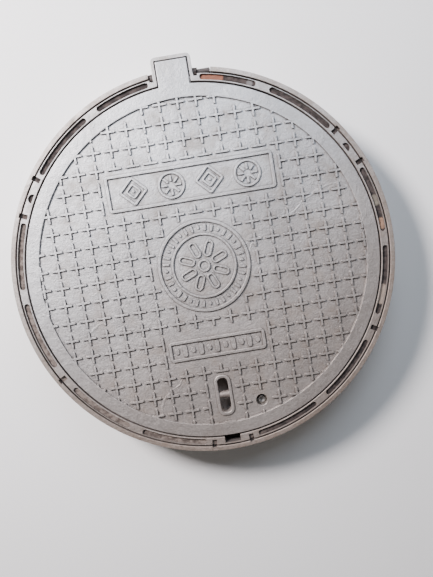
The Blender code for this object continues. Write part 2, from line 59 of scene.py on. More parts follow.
TOP = ring_high.z
RING_R = (ring_high.x - ring_low.x) / 2
CENTRE_Y = (ring_high.y + ring_low.y) / 2
COVER_R = (cover_high.x - cover_low.x) / 2
PIN_Y = (pin_high.y + pin_low.y) / 2 - CENTRE_Y
PIN_Z = (pin_high.z + pin_low.z) / 2
SLOT_X = (bar_high.x + bar_low.x) / 2
SLOT_Y = (bar_high.y + bar_low.y) / 2 - CENTRE_Y
LOCK_X = (spindle_high.x + spindle_low.x) / 2
LOCK_Y = (spindle_high.y + spindle_low.y) / 2 - CENTRE_Y

# ------------------------------------------------- dimensions of the castings

# Most are the CAD's own. The flange's edge and slots, the cover's worn edge and
# the grit are the visual model's.

RING_INNER_R = 0.371
SLEEVE_R = 0.378
FOOT_HEIGHT = 0.010
BAND_HEIGHT = 0.014
FLANGE_R = 0.3679
ABOVE = TOP + 0.01
FLANGE_BOTTOM = TOP - 0.010
WALL_R = 0.357
WALL_INNER_R = 0.353
SKIRT_INNER_R = 0.350
SKIRT_BOTTOM = inner_low.z
CLEAR_R = 0.328
SEAT_Z = TOP - 0.028
SEAT_BOTTOM = SEAT_Z - 0.012
FIELD_R = 0.3245
FIELD_Z = TOP - 0.0035
RIM_BOTTOM = TOP - 0.022
PLATE_BOTTOM = FIELD_Z - 0.0125
RIM_RING_R = (0.322, 0.321, 0.314, 0.312)
RIM_RING_BOTTOM = 0.079
RING_RIBS = ((0.204, 0.003, 0.066), (0.090, 0.004, 0.056))
RIB_DRAFT = 0.002
RIB_COUNT = 8
RIB_HALF_WIDTH = 0.004
RIB_CURVE = ((0.316, 0.077), (0.260, 0.075), (0.204, 0.068), (0.090, 0.058))
PIN_DEPTH = TOP - PIN_Z
PIN_R = 0.0053
HEAD_R = (pin_high.z - pin_low.z) / 2
PLAY = 0.0003
BORE_R = PIN_R + PLAY
TAB_R = cover_high.y - CENTRE_Y - PIN_Y
TAB_HALF_WIDTH = 0.031
POCKET_HALF_WIDTH = 0.033
POCKET_WALL = 0.006
POCKET_INNER_Y = 0.4018
POCKET_END_Y = inner_high.y - CENTRE_Y
POCKET_CORNER_R = 0.009
BORE_REACH = 0.06
TAIL_END_X = pin_high.x + 0.0012
STOP_ANGLE = math.radians(110)
HEEL_R = 0.005
LOCK_HOLE_R = 0.0115
LOCK_BOSS_R = 0.022
LOCK_BOSS_BOTTOM = 0.078
SLOT_SIZE = (0.0210, 0.0700)
LIP_SIZE = (0.0330, 0.0830)
LIP_CORNER_R = 0.014
SLOT_FLARE = 0.0012
LOCK_HOLE_FLARE = 0.0010
COVER_DRAFT = 0.0035
EDGE_WEAR = 0.0006
CUP_SIZE = (0.062, 0.083)
BAR_R = (bar_high.z - bar_low.z) / 2
BAR_Z = (bar_high.z + bar_low.z) / 2

FLANGE_SLOTS = ((8, 25.5), (30, 52), (68, 89), (93.5, 115.5), (124.5, 146), (150.5, 171.5))
NOTCHES = (54, 66, 120, 174)
ANCHOR_HOLE = 60
ANCHOR_R = 0.0095
NOTCH_HALF_WIDTH = 0.0047
NOTCH_R = 0.374
SLOT_INNER_R = 0.3554
SLOT_OUTER_R = 0.3662
SLOT_HALF = (SLOT_OUTER_R - SLOT_INNER_R) / 2
SLOT_MIDDLE_R = SLOT_INNER_R + SLOT_HALF
SLOT_WEAR = 0.0003
LUG_INNER_R = 0.3585
LUG_HALF_WIDTH = 0.013
LUG_HEIGHT = 0.016
KEY_HALF_WIDTH = 0.0042
KEY_HEIGHT = 0.002
HINGE_GAP_HALF_WIDTH = 0.048
PRY_HALF_WIDTH = 0.016
PRY_R = 0.365
PRY_DEPTH = 0.024
PRY_BOSS_HALF_WIDTH = 0.020
PRY_BOSS_WALL = 0.0025
PRY_BOSS_FLOOR = 0.006
RECESS_LENGTH = 0.0078
GRIT_BASE = 0.0004
GRIT_HEIGHT = 0.0056
NOTCH_GRIT_BASE = 0.0026
NOTCH_GRIT_HEIGHT = 0.0028
SPINDLE_NECK = 0.0906
SPINDLE_SHOULDER = 0.0700
SPINDLE_SQUARE = 0.0084
SPINDLE_SQUARE_Z = (0.0602, 0.0708)
SPINDLE_HEAD_R = 0.0070
SPINDLE_SHANK_R = 0.0060
SPINDLE_THREAD_R = 0.0038
DRIVE_R = 0.0042
DRIVE_BOTTOM = 0.0950
# Top and depth of the grime and painted shade in the gaps and pockets.
GRIME_AND_SHADE_TOP = TOP - 0.0009
GRIME_AND_SHADE_DEPTH = 0.035

# ------------------------------------------------------------- tread pattern

PATTERN_Y = -0.0037
PITCH = 0.03567
ARM_REACH = 0.0142
ARM_HALF_WIDTH = 0.00195
TREAD_TOP = TOP - 0.0002
RIDGE = 0.0055
LARGE_PLATE = (0.0, 0.162, 0.332, 0.072)
SMALL_PLATE = (0.0, -0.16625, 0.194, 0.0405)
MEDALLION_R = 0.0890
MEDALLION_INNER_R = 0.0625
MEDALLION = (0.0, PATTERN_Y)
ARM_MARGIN = 0.0030
LOCK_MARGIN = 0.004
DASH_WIDTH = 0.0085
DASH_LENGTHS = (0.0115, 0.0235)
RAY_WIDTH = 0.0048
RAY_LENGTHS = (0.0070, 0.0135, 0.0135)
PETAL_R = 0.0350
PETAL_SIZE = (0.0130, 0.0300)
HUB_R = 0.0105
DIAMONDS = ((0.0370, 0.0042), (0.0195, 0.0036))
STUD_R = 0.0028
WHEEL_R = 0.0245
SPOKE_R = 0.0135
SPOKE_SIZE = (0.0040, 0.0125)
RAISED_ROOT = FIELD_Z - 0.002
MOTIF_TOP = TREAD_TOP - 0.0004
LIP_TOP = TREAD_TOP - 0.0006
STUD_TOP = TREAD_TOP - 0.0008
LARGE_SEGMENTS = 192


# ------------------------------------------------------------------- outlines

def polar(radius, angle, centre=(0.0, 0.0)):
    """The point of a circle at an angle in radians."""
    return (centre[0] + radius * math.cos(angle), centre[1] + radius * math.sin(angle))


def arc(radius, start, end, steps, centre=(0.0, 0.0)):
    """Points on an arc between two angles in radians."""
    return [polar(radius, start + (end - start) * k / steps, centre) for k in range(steps + 1)]


def circle(centre, radius, grow=0.0, steps=48):
    """A closed round outline."""
    return arc(radius + grow, 0, math.tau, steps, centre)[:-1]


def stadium(centre, width, length, grow=0.0, angle=0.0, steps=8):
    """A slot with round ends, long in Y before it is turned."""
    radius = width / 2
    reach = length / 2 - radius
    points = arc(radius + grow, 0, math.pi, steps, (0, reach))
    points += arc(radius + grow, math.pi, math.tau, steps, (0, -reach))
    return turned_points(points, angle, centre)


def rounded_rectangle(centre, width, length, radius, grow=0.0, angle=0.0, steps=4):
    points = []
    for quarter, (side_x, side_y) in enumerate(((1, 1), (-1, 1), (-1, -1), (1, -1))):
        corner = (side_x * (width / 2 - radius), side_y * (length / 2 - radius))
        start = quarter * math.pi / 2
        points += arc(max(radius + grow, 0.0002), start, start + math.pi / 2, steps, corner)
    return turned_points(points, angle, centre)


def turned_points(points, angle, centre):
    cos, sin = math.cos(angle), math.sin(angle)
    return [(centre[0] + x * cos - y * sin, centre[1] + x * sin + y * cos) for x, y in points]


def cross_outline(centre, reaches, grow=0.0):
    """A plus sign whose arms have round ends. A reach of 0 leaves an arm out."""
    half = ARM_HALF_WIDTH + grow
    points = []
    for quarter, reach in enumerate(reaches):
        arm = [(half, -half)]
        if reach + grow > 2 * half:
            arm += arc(half, -math.pi / 2, math.pi / 2, 6, (reach + grow - half, 0))
        points += turned_points(arm, quarter * math.pi / 2, centre)
    return points


def radial_box(angle, inner, outer, half_width):
    """Outline of a box that lies along a radius."""
    near = [(inner, -half_width), (outer, -half_width)]
    far = [(outer, half_width), (inner, half_width)]
    return turned_points(near + far, angle, (0, 0))


def from_hinge(degrees):
    return math.radians(90 - degrees)


def both_sides(places):
    return [from_hinge(side * place) for place in places for side in (1, -1)]


def flange_slots():
    """First and last angle of every flange slot, on both sides of the hinge."""
    for start, end in FLANGE_SLOTS:
        yield from_hinge(end), from_hinge(start)
        yield from_hinge(-start), from_hinge(-end)


def spread_round(centre, radius, count, offset=0.0):
    """Places round a centre, each with the angle that points a slot outwards."""
    for k in range(count):
        turn = math.tau * (k + offset) / count
        yield polar(radius, turn, centre), turn + math.pi / 2


def curved_slot(start, end, grow=0.0):
    """Outline of a flange slot that follows the ring, with round ends."""
    half = SLOT_HALF + min(grow, SLOT_WEAR)
    turn = SLOT_HALF / SLOT_MIDDLE_R
    first, last = start + turn, end - turn
    outer = arc(SLOT_MIDDLE_R + half, first, last, 12)
    inner = arc(SLOT_MIDDLE_R - half, last, first, 12)
    ends = []
    for angle, begin in ((last, last), (first, first + math.pi)):
        centre = polar(SLOT_MIDDLE_R, angle)
        ends.append(arc(half, begin, begin + math.pi, 8, centre)[1:-1])
    return outer + ends[0] + inner + ends[1]


def soften(points, radius, steps=3, closed=True):
    """The outline with each corner rounded by a short curve."""
    count = len(points)
    result = []
    for k, (x, y) in enumerate(points):
        if not closed and k in (0, count - 1):
            result.append((x, y))
            continue
        near = []
        for other in (points[k - 1], points[(k + 1) % count]):
            length = math.dist(other, (x, y))
            share = min(radius, 0.45 * length) / length
            near.append((x + (other[0] - x) * share, y + (other[1] - y) * share))
        for step in range(steps + 1):
            t = step / steps
            a, b, c = (1 - t) ** 2, 2 * t * (1 - t), t * t
            result.append(tuple(a * near[0][i] + b * (x, y)[i] + c * near[1][i] for i in (0, 1)))
    return result


# --------------------------------------------------------------------- solids

def loft(shape, sections, capped=True):
    """Join closed sections of equal length. Without caps the last meets the first."""
    rows = [[shape.verts.new(point) for point in section] for section in sections]
    count = len(rows[0])
    pairs = list(zip(rows, rows[1:]))
    if not capped:
        pairs.append((rows[-1], rows[0]))
    for low, high in pairs:
        for k in range(count):
            after = (k + 1) % count
            shape.faces.new((low[k], low[after], high[after], high[k]))
    if capped:
        shape.faces.new(rows[0][::-1])
        shape.faces.new(rows[-1])


def revolve(shape, profile, segments=LARGE_SEGMENTS, centre=(0.0, 0.0), closed=True):
    """Turn a profile of (radius, z) points, down its outer side, about Z."""
    sections = []
    for radius, z in profile:
        points = [centre] if radius < 1e-6 else circle(centre, radius, steps=segments)
        sections.append([shape.verts.new((x, y, z)) for x, y in points])
    pairs = list(zip(sections, sections[1:]))
    if closed:
        pairs.append((sections[-1], sections[0]))
    for upper, lower in pairs:
        for k in range(segments):
            after = (k + 1) % segments
            if len(upper) == 1:
                shape.faces.new((upper[0], lower[k], lower[after]))
            elif len(lower) == 1:
                shape.faces.new((upper[k], lower[0], upper[after]))
            else:
                shape.faces.new((upper[k], lower[k], lower[after], upper[after]))


def at_height(outline, z):
    return [(x, y, z) for x, y in outline]


def stack(shape, outline, levels):
    """A solid through levels of height and growth of one outline."""
    loft(shape, [at_height(outline(grow), z) for z, grow in levels])


def raised(shape, outline, top):
    """A pad that rises from below the field, with sloped sides and a soft edge."""
    levels = (
        (RAISED_ROOT, 0.0008),
        (FIELD_Z, 0.0007),
        (FIELD_Z + 0.0004, 0.0003),
        (top - 0.0005, 0.0001),
        (top - 0.0001, -0.0001),
        (top, -0.0004),
    )
    stack(shape, outline, levels)


def raised_band(shape, outline, width, top, crown=0.0005):
    """A raised ridge of even width along a closed outline, with rounded shoulders."""
    half = width / 2
    levels = (
        (RAISED_ROOT, half + 0.0007),
        (FIELD_Z, half + 0.0006),
        (FIELD_Z + 0.0004, half + 0.0002),
        (top - 0.9 * crown, half),
        (top - 0.35 * crown, half - 0.3 * crown),
        (top, half - crown),
    )
    outside = [at_height(outline(grow), z) for z, grow in levels]
    inside = [at_height(outline(-grow), z) for z, grow in reversed(levels)]
    loft(shape, outside + inside, capped=False)


def finish_mesh(shape, name):
    """Make the built shape an object, shifted from the cover's centre to the frame."""
    bmesh.ops.recalc_face_normals(shape, faces=shape.faces)
    bmesh.ops.translate(shape, verts=shape.verts, vec=(0, CENTRE_Y, 0))
    mesh = bpy.data.meshes.new(name)
    shape.to_mesh(mesh)
    shape.free()
    item = bpy.data.objects.new(name, mesh)
    bpy.context.scene.collection.objects.link(item)
    return item


def revolved(name, profile, **options):
    shape = bmesh.new()
    revolve(shape, profile, **options)
    return finish_mesh(shape, name)


def prisms(name, outlines, low, high):
    shape = bmesh.new()
    for outline in outlines:
        loft(shape, [at_height(outline, z) for z in (low, high)])
    return finish_mesh(shape, name)


def flared(name, outlines, low, mouth, flare):
    """Cutters for holes whose top edge is worn back. Each outline grows on demand."""
    levels = (
        (low, 0),
        (mouth - flare, 0),
        (mouth - 0.3 * flare, 0.4 * flare),
        (mouth, flare),
        (ABOVE, flare),
    )
    shape = bmesh.new()
    for outline in outlines:
        stack(shape, outline, levels)
    return finish_mesh(shape, name)


def cross_prism(name, outline, half_width, soft=0.0):
    """A solid over a (y, z) outline that runs along X. Its ends can be softened."""
    middle_y = sum(y for y, _ in outline) / len(outline)
    middle_z = sum(z for _, z in outline) / len(outline)
    ends = (
        (-half_width, soft),
        (soft - half_width, 0),
        (half_width - soft, 0),
        (half_width, soft),
    )
    shape = bmesh.new()
    sections = []
    for x, inset in ends:
        ring = []
        for y, z in outline:
            away = Vector((y - middle_y, z - middle_z))
            length = max(away.length, 1e-6)
            keep = max(length - inset, 0) / length
            ring.append((x, middle_y + away.x * keep, middle_z + away.y * keep))
        sections.append(ring)
    loft(shape, sections)
    return finish_mesh(shape, name)


def box(name, low, high):
    outline = [(low[0], low[1]), (high[0], low[1]), (high[0], high[1]), (low[0], high[1])]
    return prisms(name, [outline], low[2], high[2])


def rod(name, radius, start, length, axis="Z", sides=48):
    """A plain cylinder from a start point along Z or X."""
    x, y, z = start
    ring = circle((0.0, 0.0), radius, steps=sides)
    shape = bmesh.new()
    if axis == "Z":
        sections = [[(x + u, y + v, z + along) for u, v in ring] for along in (0, length)]
    else:
        sections = [[(x + along, y + u, z + v) for u, v in ring] for along in (0, length)]
    loft(shape, sections)
    return finish_mesh(shape, name)


def pin_bore(name):
    """The hole that the hinge pin lies in."""
    return rod(name, BORE_R, (-BORE_REACH, PIN_Y, PIN_Z), 2 * BORE_REACH, "X")


def combine(item, others, operation):
    """Boolean the others into or out of the item, and use them up."""
    for other in others:
        modifier = item.modifiers.new(other.name, "BOOLEAN")
        modifier.operation = operation
        modifier.solver = "EXACT"
        modifier.object = other
    bpy.context.view_layer.update()
    evaluated = item.evaluated_get(bpy.context.evaluated_depsgraph_get())
    mesh = bpy.data.meshes.new_from_object(evaluated)
    item.modifiers.clear()
    item.data = mesh
    for other in others:
        bpy.data.objects.remove(other)


def flatten_shading(item):
    """Let large flat faces keep their own normals beside rounded edges."""
    modifier = item.modifiers.new("weighted_normals", "WEIGHTED_NORMAL")
    modifier.keep_sharp = True


# ------------------------------------------------------------------ materials

Finish = namedtuple("Finish", "light dark roughness metallic")
# Painted shade: a dark brown mixed in where ambient occlusion finds the foot of a raised shape.
CREVICE_SHADE = (0.040, 0.033, 0.030)
# Grime and painted shade: dark brown in the gaps, notches and pockets, where shade falls.
GRIME_AND_SHADE = (0.135, 0.112, 0.102)
# Painted shade: near-black brown on the walls and floor of the pry pocket.
PRY_SHADE = (0.045, 0.036, 0.033)
# Painted shade: multiplied in, darker and warmer, on the side away from the key light.
SHADE_AWAY_FROM_KEY_TINT = (0.92, 0.82, 0.75)
RUST = (0.16, 0.085, 0.05)
DUST_TINT = (0.72, 0.64, 0.56)
DARK_GRIT = ((0.022, 0.017, 0.016), (0.060, 0.046, 0.042))
PALE_GRIT = ((0.075, 0.058, 0.050), (0.19, 0.155, 0.135))
# How strong the painted shades are, and how far the painted shade at the foot of raised shapes
# reaches.
CREVICE_SHADE_SHARE = 0.72
GRIME_AND_SHADE_SHARE = 0.93
PRY_SHADE_SHARE = 0.9
CREVICE_SHADE_REACH = 0.005

# Sockets of a colour mix node, which share their names with others.
MIX_FIRST, MIX_SECOND, MIX_RESULT = 6, 7, 2

# Stones and dust that lie in the grit: degrees from the hinge, size and colour.
CHIPS = (
    (11.8, 0.020, (0.23, 0.092, 0.057)),
    (23.6, 0.004, (0.17, 0.16, 0.16)),
    (79.0, 0.009, (0.17, 0.15, 0.12)),
    (86.5, 0.009, (0.30, 0.18, 0.12)),
    (109.0, 0.018, (0.34, 0.27, 0.22)),
)


class Nodes:
    """Short names for building one material's node tree."""

    def __init__(self, name):
        self.material = bpy.data.materials.new(name)
        self.material.use_nodes = True
        self.tree = self.material.node_tree
        self.shader = self.tree.nodes["Principled BSDF"]
        self.place = self.add("ShaderNodeTexCoord").outputs["Object"]

    def add(self, kind, **values):
        node = self.tree.nodes.new(kind)
        for key, value in values.items():
            setattr(node, key, value)
        return node

    def link(self, source, target):
        self.tree.links.new(source, target)

    def noise(self, scale, detail=4.0, roughness=0.55):
        node = self.add("ShaderNodeTexNoise")
        node.inputs["Scale"].default_value = scale
        node.inputs["Detail"].default_value = detail
        node.inputs["Roughness"].default_value = roughness
        self.link(self.place, node.inputs["Vector"])
        return node.outputs["Fac"]

    def cells(self, scale):
        node = self.add("ShaderNodeTexVoronoi")
        node.inputs["Scale"].default_value = scale
        self.link(self.place, node.inputs["Vector"])
        return node.outputs["Distance"]

    def spread(self, source, low, high, to_low=0.0, to_high=1.0):
        node = self.add("ShaderNodeMapRange", interpolation_type="SMOOTHSTEP")
        self.link(source, node.inputs["Value"])
        node.inputs["From Min"].default_value = low
        node.inputs["From Max"].default_value = high
        node.inputs["To Min"].default_value = to_low
        node.inputs["To Max"].default_value = to_high
        return node.outputs["Result"]

    def math(self, operation, first, second):
        node = self.add("ShaderNodeMath", operation=operation)
        for socket, value in zip(node.inputs, (first, second)):
            if isinstance(value, (int, float)):
                socket.default_value = value
            else:
                self.link(value, socket)
        return node.outputs["Value"]

    def mix(self, share, first, second):
        """Mix two colours, each a tuple or a socket."""
        node = self.add("ShaderNodeMix", data_type="RGBA")
        self.link(share, node.inputs["Factor"])
        for place, value in ((MIX_FIRST, first), (MIX_SECOND, second)):
            if isinstance(value, tuple):
                node.inputs[place].default_value = (*value, 1)
            else:
                self.link(value, node.inputs[place])
        return node.outputs[MIX_RESULT]

    def plus(self, first, second):
        return self.math("ADD", first, second)

    def times(self, first, second):
        return self.math("MULTIPLY", first, second)

    def along(self, axis):
        node = self.add("ShaderNodeSeparateXYZ")
        self.link(self.place, node.inputs["Vector"])
        return node.outputs[axis]

    def vector(self, operation, first, second=None):
        node = self.add("ShaderNodeVectorMath", operation=operation)
        self.link(first, node.inputs[0])
        if second:
            node.inputs[1].default_value = second
        return node.outputs["Value" if operation == "LENGTH" else "Vector"]

    def away_from(self, x, y):
        """Distance in plan from a point that is given from the cover's centre."""
        offset = self.vector("SUBTRACT", self.place, (x, y + CENTRE_Y, 0))
        return self.vector("LENGTH", self.vector("MULTIPLY", offset, (1, 1, 0)))

    def between(self, source, low, high, soft):
        rise = self.spread(source, low, low + soft)
        return self.times(rise, self.spread(source, high - soft, high, 1.0, 0.0))

    def below(self, axis, level, blur):
        """1 under a level of one axis and 0 over it."""
        return self.spread(self.along(axis), level - blur, level + blur, 1.0, 0.0)

    def within(self, half_width):
        """1 on a strip along the middle plane and 0 beside it."""
        aside = self.math("ABSOLUTE", self.along("X"), 0.0)
        return self.spread(aside, half_width + 0.0002, half_width + 0.0006, 1.0, 0.0)

    def gaps(self):
        """The gaps round the cover, its tab and the frames, where grime and painted shade go below
        the top.
        """
        ring = self.between(self.away_from(0, 0), WALL_INNER_R - 0.0045, NOTCH_R + PLAY, 0.0004)
        root_y = WALL_INNER_R + CENTRE_Y
        front = self.spread(self.along("Y"), root_y - 0.02, root_y)
        pocket = self.times(self.within(POCKET_HALF_WIDTH), front)
        place = self.math("MAXIMUM", ring, pocket)
        deep = self.below("Z", GRIME_AND_SHADE_TOP, 0.0004)
        fade = self.spread(self.along("Z"), GRIME_AND_SHADE_TOP - GRIME_AND_SHADE_DEPTH, GRIME_AND_SHADE_TOP - 0.6 * GRIME_AND_SHADE_DEPTH)
        return self.times(place, self.times(deep, fade))

    def pry_shade(self):
        """The walls and floor of the pry pocket, where the darkest painted shade goes."""
        front = self.below("Y", CENTRE_Y - SKIRT_INNER_R - 0.0005, 0.0005)
        deep = self.below("Z", GRIME_AND_SHADE_TOP, 0.0003)
        return self.times(self.within(PRY_HALF_WIDTH), self.times(front, deep))

    def shade_away_from_key(self, colour):
        """Painted shade: darker and warmer over the lock's side of the cover, away from the key
        light, none at the far side.
        """
        lean = self.math("SUBTRACT", self.times(self.along("X"), 0.5), self.along("Y"))
        lean = self.plus(lean, self.times(self.noise(6, 3), 0.1))
        tint = self.add("ShaderNodeMix", data_type="RGBA", blend_type="MULTIPLY")
        self.link(self.spread(lean, -0.22, 0.40), tint.inputs["Factor"])
        self.link(colour, tint.inputs[MIX_FIRST])
        tint.inputs[MIX_SECOND].default_value = (*SHADE_AWAY_FROM_KEY_TINT, 1)
        return tint.outputs[MIX_RESULT]

    def crevice_shade(self, reach):
        """How enclosed a point is, by ambient occlusion: painted shade at the foot of every raised
        shape.
        """
        node = self.add("ShaderNodeAmbientOcclusion", samples=8, only_local=True)
        node.inputs["Distance"].default_value = reach
        return self.spread(node.outputs["AO"], 0.50, 0.97, 1.0, 0.0)

    def bump(self, height, distance, strength, under=None):
        node = self.add("ShaderNodeBump")
        node.inputs["Distance"].default_value = distance
        node.inputs["Strength"].default_value = strength
        self.link(height, node.inputs["Height"])
        if under:
            self.link(under, node.inputs["Normal"])
        return node.outputs["Normal"]


def cast_paint(name, finish, field_z=None):
    """Silver paint over sand-cast iron: grit, lumps, dust in the low parts, and painted shade in
    corners, gaps and pockets and away from the key light.
    """
    n = Nodes(name)
    grit = n.noise(1100, 3, 0.6)
    grain = n.noise(330, 4, 0.62)
    lumps = n.noise(70, 4, 0.6)
    patches = n.noise(8, 5, 0.62)
    pits = n.spread(n.cells(380), 0.0, 0.30)
    tone = n.plus(n.times(patches, 0.50), n.times(grain, 0.50))
    colour = n.mix(n.spread(tone, 0.36, 0.64), finish.dark, finish.light)
    dusty = tuple(channel * tint for channel, tint in zip(finish.dark, DUST_TINT))
    dust = n.times(n.spread(n.noise(20, 6, 0.65), 0.46, 0.72), 0.6)
    if field_z is not None:
        low = n.spread(n.along("Z"), field_z + 0.0004, field_z + 0.0028, 1.0, 0.3)
        dust = n.times(dust, low)
    # Painted shade, darker and warmer on the side away from the key light.
    colour = n.shade_away_from_key(n.mix(dust, colour, dusty))
    # Grime and painted shade in the gaps, notches and pockets; these are also rougher and not
    # metallic.
    packed = n.gaps()
    # Painted shade at the foot of every raised shape, from ambient occlusion.
    colour = n.mix(n.times(n.crevice_shade(CREVICE_SHADE_REACH), CREVICE_SHADE_SHARE), colour, CREVICE_SHADE)
    # Grime and painted shade in the gaps and pockets.
    colour = n.mix(n.times(packed, GRIME_AND_SHADE_SHARE), colour, GRIME_AND_SHADE)
    # Painted shade in the pry pocket.
    colour = n.mix(n.times(n.pry_shade(), PRY_SHADE_SHARE), colour, PRY_SHADE)
    n.link(colour, n.shader.inputs["Base Color"])
    gloss = n.plus(n.times(grain, 0.22), n.times(dust, 0.20))
    gloss = n.plus(gloss, n.times(packed, 0.3))
    n.link(n.plus(gloss, finish.roughness - 0.11), n.shader.inputs["Roughness"])
    metal = n.spread(packed, 0.0, 1.0, finish.metallic, 0.0)
    n.link(metal, n.shader.inputs["Metallic"])
    fine = n.bump(n.plus(grit, n.times(pits, 0.5)), 0.0003, 0.5)
    medium = n.bump(grain, 0.0007, 0.7, fine)
    n.link(n.bump(lumps, 0.0022, 0.5, medium), n.shader.inputs["Normal"])
    return n.material


def plain_steel(name, finish):
    """Turned or plated steel with faint marks and some dull rust bloom."""
    n = Nodes(name)
    marks = n.noise(1400, 2, 0.5)
    bloom = n.spread(n.noise(160, 5, 0.65), 0.5, 0.75)
    colour = n.mix(n.times(bloom, 0.45), finish.light, RUST)
    colour = n.mix(n.spread(marks, 0.3, 0.7, 0.0, 0.3), colour, finish.dark)
    n.link(colour, n.shader.inputs["Base Color"])
    gloss = n.plus(n.times(bloom, 0.3), finish.roughness)
    n.link(gloss, n.shader.inputs["Roughness"])
    n.shader.inputs["Metallic"].default_value = finish.metallic
    n.link(n.bump(marks, 0.0002, 0.4), n.shader.inputs["Normal"])
    return n.material


def rubber(name, finish):
    """Rubber or plastic: a dark ground with pale dust on it."""
    n = Nodes(name)
    grain = n.noise(700, 3, 0.6)
    dust = n.spread(n.noise(40, 5, 0.6), 0.5, 0.8)
    gloss = n.spread(grain, 0, 1, finish.roughness - 0.1, finish.roughness + 0.1)
    n.link(n.mix(dust, finish.dark, finish.light), n.shader.inputs["Base Color"])
    n.link(gloss, n.shader.inputs["Roughness"])
    n.link(n.bump(grain, 0.0003, 0.4), n.shader.inputs["Normal"])
    return n.material


def grit_paint(name):
    """Packed grit: dark brown, paler towards the lower left, with a few stones."""
    n = Nodes(name)
    aside = n.plus(n.times(n.along("X"), 0.8), n.times(n.along("Y"), 0.6))
    dark = n.mix(n.spread(n.noise(85, 4), 0.40, 0.60), *DARK_GRIT)
    pale = n.mix(n.spread(n.noise(110, 4), 0.38, 0.62), *PALE_GRIT)
    colour = n.mix(n.spread(aside, -0.26, -0.12), pale, dark)
    for degrees, size, chip in CHIPS:
        place = polar(SLOT_MIDDLE_R, from_hinge(degrees))
        near = n.spread(n.away_from(*place), size, size + 0.004, 0.9, 0.0)
        colour = n.mix(near, colour, chip)
    n.link(colour, n.shader.inputs["Base Color"])
    n.shader.inputs["Roughness"].default_value = 0.95
    n.link(n.bump(n.noise(800, 5, 0.7), 0.0008, 0.8), n.shader.inputs["Normal"])
    return n.material


def paint(item, material, sharp):
    """Give a piece its material, and shade it smooth up to an angle in degrees."""
    item.data.shade_smooth()
    item.data.set_sharp_from_angle(angle=math.radians(sharp))
    item.data.materials.clear()
    item.data.materials.append(material)


def dress(item, material, body, sharp=38):
    """Paint a piece of the visual model, and let it move with its body."""
    paint(item, material, sharp)
    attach(item, body)


# ------------------------------------------------------------------- castings

def outer_frame():
    """Sleeve ring with softened edges, lugs and keys for the inner frame."""
    band_bottom = TOP - BAND_HEIGHT
    chamfer = 0.004
    profile = [
        (RING_INNER_R, TOP),
        (RING_R, TOP),
        (RING_R, band_bottom),
        (SLEEVE_R, band_bottom - chamfer),
        (SLEEVE_R, FOOT_HEIGHT + chamfer),
        (RING_R, FOOT_HEIGHT),
        (RING_R, 0),
        (RING_INNER_R, 0),
    ]
    item = revolved("outer_frame_casting", soften(profile, 0.0011))
    lug_top = FLANGE_BOTTOM - PLAY
    key_top = lug_top + KEY_HEIGHT
    lugs, keys, notches = [], [], []
    for angle in both_sides(NOTCHES):
        lugs.append(radial_box(angle, LUG_INNER_R, RING_INNER_R + 0.003, LUG_HALF_WIDTH))
        keys.append(radial_box(angle, LUG_INNER_R + 0.001, RING_INNER_R + 0.002, KEY_HALF_WIDTH))
        notches.append(radial_box(angle, RING_INNER_R - 0.001, NOTCH_R, NOTCH_HALF_WIDTH))
    combine(
        item,
        [
            prisms("lug_blocks", lugs, lug_top - LUG_HEIGHT, lug_top),
            prisms("lug_keys", keys, lug_top - LUG_HEIGHT / 2, key_top),
        ],
        "UNION",
    )
    beyond = RING_R + 0.01
    gap = (
        (-HINGE_GAP_HALF_WIDTH, RING_INNER_R - 0.03, FOOT_HEIGHT + 0.001),
        (HINGE_GAP_HALF_WIDTH, beyond, ABOVE),
    )
    groove = (
        (HINGE_GAP_HALF_WIDTH - 0.001, PIN_Y - 0.012, PIN_Z - 0.008),
        (TAIL_END_X, beyond, ABOVE),
    )
    combine(
        item,
        [
            prisms("band_notches", notches, key_top - KEY_HEIGHT / 2, ABOVE),
            box("hinge_gap", *gap),
            box("pin_groove", *groove),
        ],
        "DIFFERENCE",
    )
    return item


def pocket_outline(grow):
    """The hinge pocket's block from above, with two round corners."""
    half = POCKET_HALF_WIDTH + POCKET_WALL
    root_y = WALL_INNER_R + 0.001
    corner_x, corner_y = half - POCKET_CORNER_R, POCKET_END_Y - POCKET_CORNER_R
    radius = POCKET_CORNER_R + grow
    return [
        (half + grow, root_y),
        *arc(radius, 0, math.pi / 2, 8, (corner_x, corner_y)),
        *arc(radius, math.pi / 2, math.pi, 8, (-corner_x, corner_y)),
        (-half - grow, root_y),
    ]


def flange_cutters():
    """The slots, half-holes and notches of the flange."""
    below = FLANGE_BOTTOM - 0.004
    slots = [partial(curved_slot, first, last) for first, last in flange_slots()]
    notches = []
    for angle in both_sides(NOTCHES):
        notches.append(radial_box(angle, WALL_R, FLANGE_R + 0.002, NOTCH_HALF_WIDTH))
    anchors = []
    for angle in both_sides((ANCHOR_HOLE,)):
        quarter = math.pi / 2
        anchors.append(arc(ANCHOR_R, angle - quarter, angle + quarter, 12, polar(WALL_R, angle)))
    return [
        flared("flange_slots", slots, below, TOP, 0.0006),
        prisms("flange_notches", notches, below, ABOVE),
        prisms("anchor_holes", anchors, below, ABOVE),
    ]


def pin_recesses():
    """Room for the pin's head on one side and its tail on the other."""
    near = POCKET_HALF_WIDTH + POCKET_WALL
    side = near + RECESS_LENGTH
    head_y = PIN_Y - HEAD_R - 0.0007
    tail_y = PIN_Y - PIN_R - 0.0006
    far_y = PIN_Y + 0.01
    head_side = [(-side, head_y), (-near, head_y), (-near, far_y), (-side, far_y)]
    tail_side = [
        (near, head_y),
        (side, head_y),
        (side, tail_y),
        (TAIL_END_X, tail_y),
        (TAIL_END_X, far_y),
        (near, far_y),
    ]
    return prisms("pin_recesses", [head_side, tail_side], FLANGE_BOTTOM - 0.004, ABOVE)


